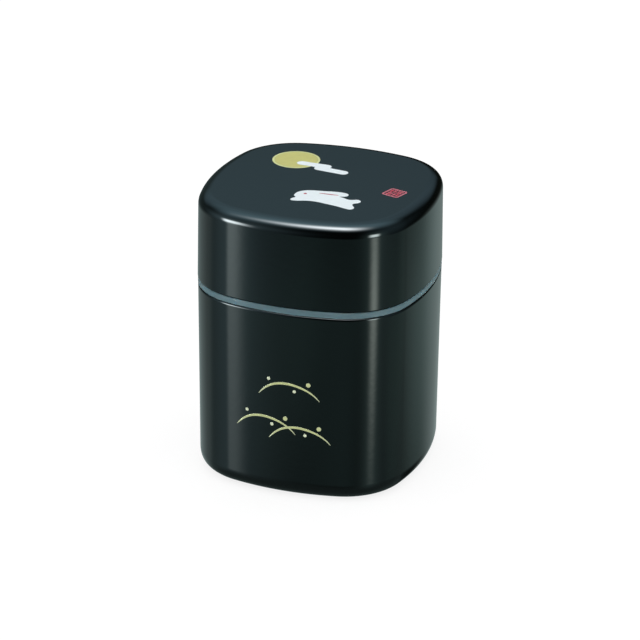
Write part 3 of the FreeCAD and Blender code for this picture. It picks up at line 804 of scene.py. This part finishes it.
# The small drops take the pale gold in full and the large ones a tenth of it: a painted
# highlight.
drops = film(
    "dew_drop_film",
    [[ellipse((BLADES[k][0] + x, BLADES[k][1] + z), r, r, count=40)] for k, x, z, r in DROPS],
    -DROP_SINK, FILM + DROP_SINK, rim=0.12, soft=0.35, place=on_front,
    tones=[1.0 if r < 0.7 else 0.1 for _, _, _, r in DROPS])

# ------------------------------------------------------------------------------------------
# Riding, replacing and naming: piece, node it replaces, part it rides on, material slot.
PIECES = (
    (body, "caddy_body", "body", "body_lacquer"),
    (grass, "grass_print", "body", "gold_ink"),
    (drops, "dew_drop_print", "body", "gold_ink"),
    (seal, "seal_lid", "seal", "seal_plastic"),
    (lid, "outer_lid", "lid", "lid_lacquer"),
    (moon, "moon_print", "lid", "moon_ink"),
    (cloud, "cloud_print", "lid", "white_ink"),
    (rabbit, "rabbit_print", "lid", "white_ink"),
    (detail, "rabbit_detail_print", "lid", "red_ink"),
    (stamp, "stamp_print", "lid", "stamp_ink"),
)
for piece, replaced, rides, slot_name in PIECES:
    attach(piece, rides)
    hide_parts(replaced)

# ------------------------------------------------------------------------------------------
# Node helpers. Texture space is the object's own frame in millimetres.


class Tree:
    def __init__(self, tree):
        self.tree = tree
        tree.nodes.clear()

    def node(self, kind, inputs=None, out=0, **props):
        """Makes a node and returns its output called out, or the node if out is None."""
        made = self.tree.nodes.new(kind)
        for key, value in props.items():
            setattr(made, key, value)
        for key, value in (inputs or {}).items():
            socket = made.inputs[key]
            if isinstance(value, bpy.types.NodeSocket):
                self.tree.links.new(value, socket)
            else:
                socket.default_value = (*value, 1) if socket.type == "RGBA" else value
        return made if out is None else made.outputs[out]

    def math(self, kind, *args):
        return self.node("ShaderNodeMath", dict(enumerate(args)), operation=kind)

    def add(self, one, other):
        return self.math("ADD", one, other)

    def mul(self, one, other):
        return self.math("MULTIPLY", one, other)

    def vec(self, kind, *args):
        out = "Value" if kind in ("DOT_PRODUCT", "LENGTH") else "Vector"
        return self.node("ShaderNodeVectorMath", dict(enumerate(args)), out, operation=kind)

    def scale(self, vector, factor):
        inputs = {0: vector, "Scale": factor}
        return self.node("ShaderNodeVectorMath", inputs, operation="SCALE")

    def ramp(self, value, span, to=(0.0, 1.0), smooth=True):
        """Maps value from span to the range to, clamped."""
        return self.node(
            "ShaderNodeMapRange",
            {"Value": value, "From Min": span[0], "From Max": span[1],
             "To Min": to[0], "To Max": to[1]},
            interpolation_type="SMOOTHSTEP" if smooth else "LINEAR", clamp=True)

    def mix(self, share, one, other):
        """Colour mix; sockets 0, 6 and 7 are the factor and the two colours."""
        return self.node("ShaderNodeMix", {0: share, 6: one, 7: other}, out=2,
                         data_type="RGBA", clamp_factor=True)

    def noise(self, vector, scale, detail=2.0, rough=0.5, distortion=0.0):
        return self.node(
            "ShaderNodeTexNoise",
            {"Vector": vector, "Scale": scale, "Detail": detail, "Roughness": rough,
             "Lacunarity": 2.0, "Distortion": distortion}, noise_dimensions="3D")

    def bump(self, height, metres, strength=1.0, normal=None):
        inputs = {"Height": height, "Distance": metres, "Strength": strength}
        if normal is not None:
            inputs["Normal"] = normal
        return self.node("ShaderNodeBump", inputs)

    def principled(self, inputs):
        return self.node("ShaderNodeBsdfPrincipled", inputs)

    def surface(self, shader):
        self.node("ShaderNodeOutputMaterial", {"Surface": shader}, out=None)


def new_material(name):
    """The material, its tree, and the place in object space in millimetres."""
    material = bpy.data.materials.new(name)
    material.use_nodes = True
    net = Tree(material.node_tree)
    return material, net, net.scale(net.node("ShaderNodeTexCoord", out="Object"), 1000.0)


def times(colour, factor):
    return tuple(c * factor for c in colour)


def scratches(net, where, degrees, density, seed):
    """Sparse hairlines: noise stretched along one direction and cut near its top."""
    stretched = net.node("ShaderNodeMapping", {
        "Vector": where, "Rotation": (0.2, 0.1, math.radians(degrees)),
        "Scale": (0.035, 2.6, 2.6), "Location": (seed, seed * 1.7, 0)})
    lines = net.noise(stretched, scale=1.0, detail=1.0)
    gate = net.noise(net.vec("ADD", where, (seed * 9.0, 3.0, 1.0)), scale=0.045, detail=1.0)
    return net.mul(net.ramp(lines, span=(density, density + 0.05)),
                   net.ramp(gate, span=(0.5, 0.62)))


LACQUER_BLACK = (0.0004, 0.0007, 0.0008)
NIB_GREY = (0.03, 0.033, 0.034)


def lacquer(name, seed):
    """Black sprayed urethane over plastic: clear coat with faint orange peel, dust nibs,
    hairlines and handling haze."""
    material, net, where = new_material(name)
    where = net.vec("ADD", where, (seed * 31.7, seed * 17.3, seed * 5.1))
    cloudy = net.noise(where, scale=0.045, detail=3.0)
    peel = net.noise(where, scale=0.42, detail=1.5, rough=0.45)
    fine = net.noise(where, scale=2.4, detail=2.0)
    haze = net.noise(net.vec("MULTIPLY", where, (1.0, 1.0, 0.6)),
                     scale=0.06, detail=4.0, rough=0.62)
    cell = net.node("ShaderNodeTexVoronoi", {"Vector": where, "Scale": 0.16, "Randomness": 1.0},
                    out=None, feature="F1")
    # Each cell's random red decides whether it holds a nib and how wide it is.
    chance = net.node("ShaderNodeSeparateColor", {"Color": cell.outputs["Color"]}, out="Red")
    nib_radius = net.ramp(chance, span=(0.62, 1.0), to=(0.0, 0.035), smooth=False)
    nib = net.ramp(net.math("SUBTRACT", nib_radius, cell.outputs["Distance"]), span=(0.0, 0.02))
    hair = net.math("MAXIMUM",
                    scratches(net, where, degrees=24, density=0.735, seed=1.3 + seed),
                    scratches(net, where, degrees=-61, density=0.745, seed=5.1 + seed))
    normal = net.bump(peel, metres=0.000007)
    normal = net.bump(fine, metres=0.0000002, normal=normal)
    normal = net.bump(nib, metres=0.000012, strength=0.8, normal=normal)
    normal = net.bump(hair, metres=0.0000011, strength=0.6, normal=normal)
    base = net.mix(net.ramp(cloudy, span=(0.3, 0.7)),
                   times(LACQUER_BLACK, 0.82), times(LACQUER_BLACK, 1.2))
    net.surface(net.principled({
        "Base Color": net.mix(net.mul(nib, 0.35), base, NIB_GREY),
        "Roughness": net.ramp(haze, span=(0.3, 0.7), to=(0.42, 0.52)),
        "IOR": 1.5,
        "Specular IOR Level": 0.0,
        "Normal": net.bump(fine, metres=0.000001),
        "Coat Weight": 1.0,
        "Coat IOR": 1.5,
        "Coat Roughness": net.add(net.ramp(haze, span=(0.35, 0.72), to=(0.02, 0.05)),
                                  net.mul(hair, 0.05)),
        "Coat Normal": normal,
    }))
    return material


def translucent_pe(name):
    """Frosted blue-grey polyethylene: part of the light soaks in and spreads, the rest passes
    through, so it is dark between black parts and pale when free."""
    material, net, where = new_material(name)
    swirl = net.noise(net.vec("MULTIPLY", where, (1.0, 1.0, 2.2)),
                      scale=0.07, detail=3.0, distortion=0.8)
    grain = net.noise(where, scale=5.0, detail=3.0, rough=0.6)
    sheen = net.noise(where, scale=0.35, detail=2.0)
    rub = net.noise(net.vec("MULTIPLY", where, (0.5, 0.5, 4.0)), scale=1.4, detail=3.0, rough=0.6)
    rub = net.ramp(rub, span=(0.45, 0.75))
    normal = net.bump(grain, metres=0.0000016)
    normal = net.bump(sheen, metres=0.000005, normal=normal)
    rough = net.add(net.ramp(sheen, span=(0.3, 0.7), to=(0.17, 0.25)), net.mul(rub, 0.12))
    milky = net.principled({
        "Base Color": net.mix(net.ramp(swirl, span=(0.3, 0.7)),
                              (0.27, 0.45, 0.51), (0.31, 0.49, 0.55)),
        "Roughness": rough,
        "IOR": 1.51,
        "Normal": normal,
        "Subsurface Weight": 1.0,
        "Subsurface Radius": (1.0, 1.25, 1.35),
        "Subsurface Scale": 0.0018,
        "Subsurface Anisotropy": 0.2,
    })
    clear = net.principled({
        "Base Color": (0.74, 0.86, 0.89),
        "Roughness": net.add(rough, 0.2),
        "IOR": 1.51,
        "Normal": normal,
        "Transmission Weight": 1.0,
    })
    net.surface(net.node("ShaderNodeMixShader", {0: 0.68, 1: milky, 2: clear}))
    return material


UNDER_INK = (0.02, 0.024, 0.026)  # the lacquer showing through worn ink


def ink(name, colour, rim, rough, mottle, pale=None, worn=0.0, border=None):
    """Screen-printed ink: satin, faintly mottled, with its own colour at the rim. pale is the
    colour where the second film attribute is 1; on the gold ink it is painted highlight on the
    blade tips and small drops. worn is how much the bare spots show, and border prints a line
    and a gap just inside a disc."""
    material, net, where = new_material(name)
    inside = net.node("ShaderNodeAttribute", out="Fac", attribute_name="ink_in")
    grain = net.noise(where, scale=3.2, detail=3.0, rough=0.6)
    patch = net.noise(where, scale=0.5, detail=2.0)
    mesh_marks = net.noise(net.vec("MULTIPLY", where, (1.0, 1.0, 0.3)), scale=9.0, detail=1.0)
    final = net.mix(
        net.ramp(net.add(net.mul(grain, 0.5), net.mul(patch, 0.5)), span=(0.35, 0.65)),
        times(colour, 1 - mottle), tuple(min(1.0, c * (1 + mottle)) for c in colour))
    if pale:
        tone = net.node("ShaderNodeAttribute", out="Fac", attribute_name="tone")
        final = net.mix(tone, final, pale)
        rim = net.mix(tone, rim, pale)
    if border:
        offset = net.vec("SUBTRACT", where, (*border["centre"], 0.0))
        away = net.vec("LENGTH", net.vec("MULTIPLY", offset, (1.0, 1.0, 0.0)))
        wobble = net.add(away, net.ramp(patch, span=(0.3, 0.7), to=(-0.05, 0.05)))
        edge = border["radius"] - border["width"]
        final = net.mix(net.ramp(wobble, span=(edge - 0.42, edge - 0.28)), final, border["gap"])
        final = net.mix(net.ramp(wobble, span=(edge - 0.14, edge + 0.02)), final, border["line"])
    final = net.mix(net.ramp(inside, span=(0.0, 0.7)), rim, final)
    if worn:
        holes = net.ramp(net.noise(where, scale=2.1, detail=4.0, rough=0.65),
                         span=(0.62, 0.7), to=(0.0, worn))
        final = net.mix(holes, final, UNDER_INK)
    height = net.add(grain, net.mul(mesh_marks, 0.35))
    net.surface(net.principled({
        "Base Color": final,
        "Roughness": net.ramp(grain, span=(0.3, 0.7), to=(rough - 0.05, rough + 0.06)),
        "IOR": 1.48,
        "Normal": net.bump(height, metres=0.0000035),
        "Coat Weight": 0.25,
        "Coat Roughness": 0.18,
    }))
    return material


MOON_BORDER = dict(centre=MOON_C, radius=MOON_R, width=0.72,
                   line=(0.635, 0.655, 0.285), gap=(0.45, 0.44, 0.13))
MATERIALS = {
    # The gold's pale colour is a painted highlight on the blade tips and small dew drops.
    "gold_ink": ink("ink_pale_gold", colour=(0.485, 0.525, 0.225), rim=(0.43, 0.47, 0.27),
                    rough=0.34, mottle=0.1, pale=(0.60, 0.66, 0.47)),
    "white_ink": ink("ink_white", colour=(0.81, 0.88, 0.91), rim=(0.68, 0.75, 0.78),
                     rough=0.4, mottle=0.02),
    "moon_ink": ink("ink_moon_gold", colour=(0.555, 0.525, 0.155), rim=(0.60, 0.62, 0.30),
                    rough=0.38, mottle=0.04, border=MOON_BORDER),
    "red_ink": ink("ink_dull_red", colour=(0.40, 0.035, 0.065), rim=(0.42, 0.06, 0.09),
                   rough=0.42, mottle=0.08),
    "stamp_ink": ink("ink_stamp_red", colour=(0.50, 0.028, 0.055), rim=(0.34, 0.03, 0.05),
                     rough=0.45, mottle=0.14, worn=0.5, pale=(0.56, 0.135, 0.175)),
    "body_lacquer": lacquer("lacquer_body", seed=1.0),
    "lid_lacquer": lacquer("lacquer_lid", seed=2.0),
    "seal_plastic": translucent_pe("milky_polyethylene"),
}
for piece, _, _, slot_name in PIECES:
    piece.data.materials.clear()
    piece.data.materials.append(MATERIALS[slot_name])

# ------------------------------------------------------------------------------------------
# Studio. What the glossy surfaces see: soft boxes and cards. Everything else is lit by an
# even pale tent. Columns: azimuth (0 at the front, positive to the right) and elevation in
# degrees, half width and half height as tangents, edge power (higher is crisper), colour.
BOXES = [
    ("overhead_box", 4.5, 68.8, 0.383, 0.268, 1.80, (21.826, 22.917, 23.531)),
    ("tent_top", -58.1, 84.4, 0.773, 1.107, 1.82, (1.410, 2.361, 2.802)),
    ("left_strip", -47.1, -3.1, 0.180, 0.125, 3.00, (17.5, 19.5, 20.0)),
    ("left_strip_halo", -46.2, -9.2, 0.092, 0.279, 2.22, (2.306, 2.645, 2.595)),
    ("left_strip_foot", -23.6, -24.0, 0.354, 0.056, 3.49, (0.063, 0.117, 0.105)),
    ("left_tent", -50.7, 0.4, 0.560, 0.440, 1.50, (0.697, 1.086, 1.238)),
    ("right_strip", 62.4, -6.0, 0.140, 0.137, 3.34, (12.3, 14.2, 14.0)),
    ("right_strip_halo", 63.6, -9.6, 0.288, 0.426, 1.81, (0.435, 0.704, 0.680)),
    ("right_strip_foot", 64.1, -22.3, 0.104, 0.058, 2.25, (2.744, 3.035, 2.761)),
    ("left_card", -93.0, 17.1, 2.337, 1.604, 8.00, (0.048, 0.075, 0.078)),
    ("right_card", 93.9, 17.0, 0.655, 0.670, 1.98, (0.171, 0.287, 0.335)),
    ("right_card_foot", 105.8, -23.9, 0.346, 0.060, 2.97, (0.093, 0.167, 0.144)),
    ("table_front", 14.1, -24.0, 0.673, 0.100, 2.45, (0.140, 0.242, 0.239)),
    ("back_card", 204.3, 35.2, 0.958, 0.300, 3.40, (0.219, 0.356, 0.436)),
    ("table", 15.0, -80.6, 3.000, 1.282, 7.65, (0.103, 0.151, 0.149)),
    ("right_edge_card", 145.7, -23.2, 0.401, 0.077, 1.75, (0.274, 0.408, 0.392)),
    ("left_edge_card", -146.2, -30.5, 1.360, 0.205, 2.37, (0.338, 0.421, 0.414)),
]
BASE_GLOW = (0.0133, 0.0167, 0.0139)
WHITE = (1.0, 1.0, 1.0)


def towards(azimuth, elevation):
    """Unit vector at these angles in radians."""
    return Vector((math.sin(azimuth) * math.cos(elevation),
                   -math.cos(azimuth) * math.cos(elevation), math.sin(elevation)))


def box_light(net, look, azimuth, elevation, wide, high, power, colour):
    """One soft box on the sky, fading as exp(-(|u|^power + |v|^power))."""
    azimuth, elevation = math.radians(azimuth), math.radians(elevation)
    middle = towards(azimuth, elevation)
    across = Vector((math.cos(azimuth), math.sin(azimuth), 0.0))
    depth = net.vec("DOT_PRODUCT", look, tuple(middle))
    near = net.math("MAXIMUM", depth, 0.001)

    def fade(axis, half):
        along = net.vec("DOT_PRODUCT", look, tuple(axis))
        share = net.math("DIVIDE", along, net.mul(near, half))
        return net.math("POWER", net.math("ABSOLUTE", share), power)

    fades = net.add(fade(across, wide), fade(middle.cross(across), high))
    level = net.mul(net.math("EXPONENT", net.mul(fades, -1.0)),
                    net.math("GREATER_THAN", depth, 0.0))
    return net.scale(colour, level)


def build_world():
    world = bpy.data.worlds.new("studio")
    scene.world = world
    world.use_nodes = True
    net = Tree(world.node_tree)
    look = net.vec("NORMALIZE", net.node("ShaderNodeTexCoord", out="Generated"))
    total = None
    for _, *box in BOXES:
        part = box_light(net, look, *box)
        total = part if total is None else net.vec("ADD", total, part)
    total = net.vec("ADD", total, BASE_GLOW)
    up = net.node("ShaderNodeSeparateXYZ", {"Vector": look}, out="Z")
    tent = net.ramp(up, span=(-0.3, 1.0), to=(0.86, 1.12), smooth=False)
    rays = net.node("ShaderNodeLightPath", out=None).outputs
    glossy, even, white = (
        net.node("ShaderNodeBackground", {"Color": colour, "Strength": strength})
        for colour, strength in ((total, 1.0), (WHITE, tent), (WHITE, 1.0)))
    lit = net.node("ShaderNodeMixShader", {0: rays["Is Glossy Ray"], 1: even, 2: glossy})
    lit = net.node("ShaderNodeMixShader", {0: rays["Is Camera Ray"], 1: lit, 2: white})
    net.node("ShaderNodeOutputWorld", {"Surface": lit}, out=None)


# Floor, in metres: half size, cells a side, height of its top and depth of its waves.
FLOOR_HALF, FLOOR_CELLS, FLOOR_TOP, FLOOR_WAVE = 3.2, 64, -0.0002, 0.0006


def floor_point(i, j):
    """Grid point; the waves fade out towards the middle."""
    wave = 0.5 + 0.5 * math.sin(i * 1.7) * math.cos(j * 1.3)
    cells_out = math.hypot(i - FLOOR_CELLS / 2, j - FLOOR_CELLS / 2)
    fade = min(1.0, max(0.0, cells_out / 6 - 0.5))
    return (-FLOOR_HALF + 2 * FLOOR_HALF * i / FLOOR_CELLS,
            -FLOOR_HALF + 2 * FLOOR_HALF * j / FLOOR_CELLS,
            FLOOR_TOP - FLOOR_WAVE * wave * fade)


def pale_paper():
    material, net, where = new_material("pale_paper")
    paper = net.ramp(net.noise(where, scale=0.3, detail=4.0), span=(0.3, 0.7), to=(0.985, 1.0))
    diffuse = net.node("ShaderNodeBsdfDiffuse", {"Color": net.scale((0.22, 0.22, 0.22), paper)})
    glow = net.node("ShaderNodeEmission", {"Color": WHITE, "Strength": 0.82})
    net.surface(net.node("ShaderNodeAddShader", {0: diffuse, 1: glow}))
    return material


def build_floor():
    """A broad pale sheet, seen by the camera but not by the gloss."""
    bm = bmesh.new()
    grid = [[bm.verts.new(floor_point(i, j)) for j in range(FLOOR_CELLS + 1)]
            for i in range(FLOOR_CELLS + 1)]
    for a, b in zip(grid, grid[1:]):
        for j in range(FLOOR_CELLS):
            bm.faces.new((a[j], b[j], b[j + 1], a[j + 1])).smooth = True
    mesh = bpy.data.meshes.new("floor")
    bm.to_mesh(mesh)
    bm.free()
    floor = link("floor", mesh)
    floor.visible_glossy = False
    mesh.materials.append(pale_paper())


def build_camera():
    """A long lens, a little above and to the right of the front."""
    data = bpy.data.cameras.new("camera")
    camera = link("camera", data)
    target = Vector((0, 0, 53.13 * MM))
    distance, roll = 1133.7 * MM, math.radians(0.582)
    back = towards(math.radians(19.0), math.radians(23.326))
    camera.location = target + back * distance
    camera.rotation_mode = "QUATERNION"
    camera.rotation_quaternion = (
        (-back).to_track_quat("-Z", "Y") @ Quaternion((0, 0, 1), roll))
    data.sensor_width = 36.0
    data.lens = 174.695625
    data.shift_x, data.shift_y = -0.000515625, -0.003515625
    data.clip_start, data.clip_end = 0.01, 20.0
    scene.camera = camera


build_world()
build_floor()
scene.view_settings.view_transform = "Standard"
scene.view_settings.look = "None"
scene.view_settings.exposure = 0.0
scene.view_settings.gamma = 1.0
build_camera()
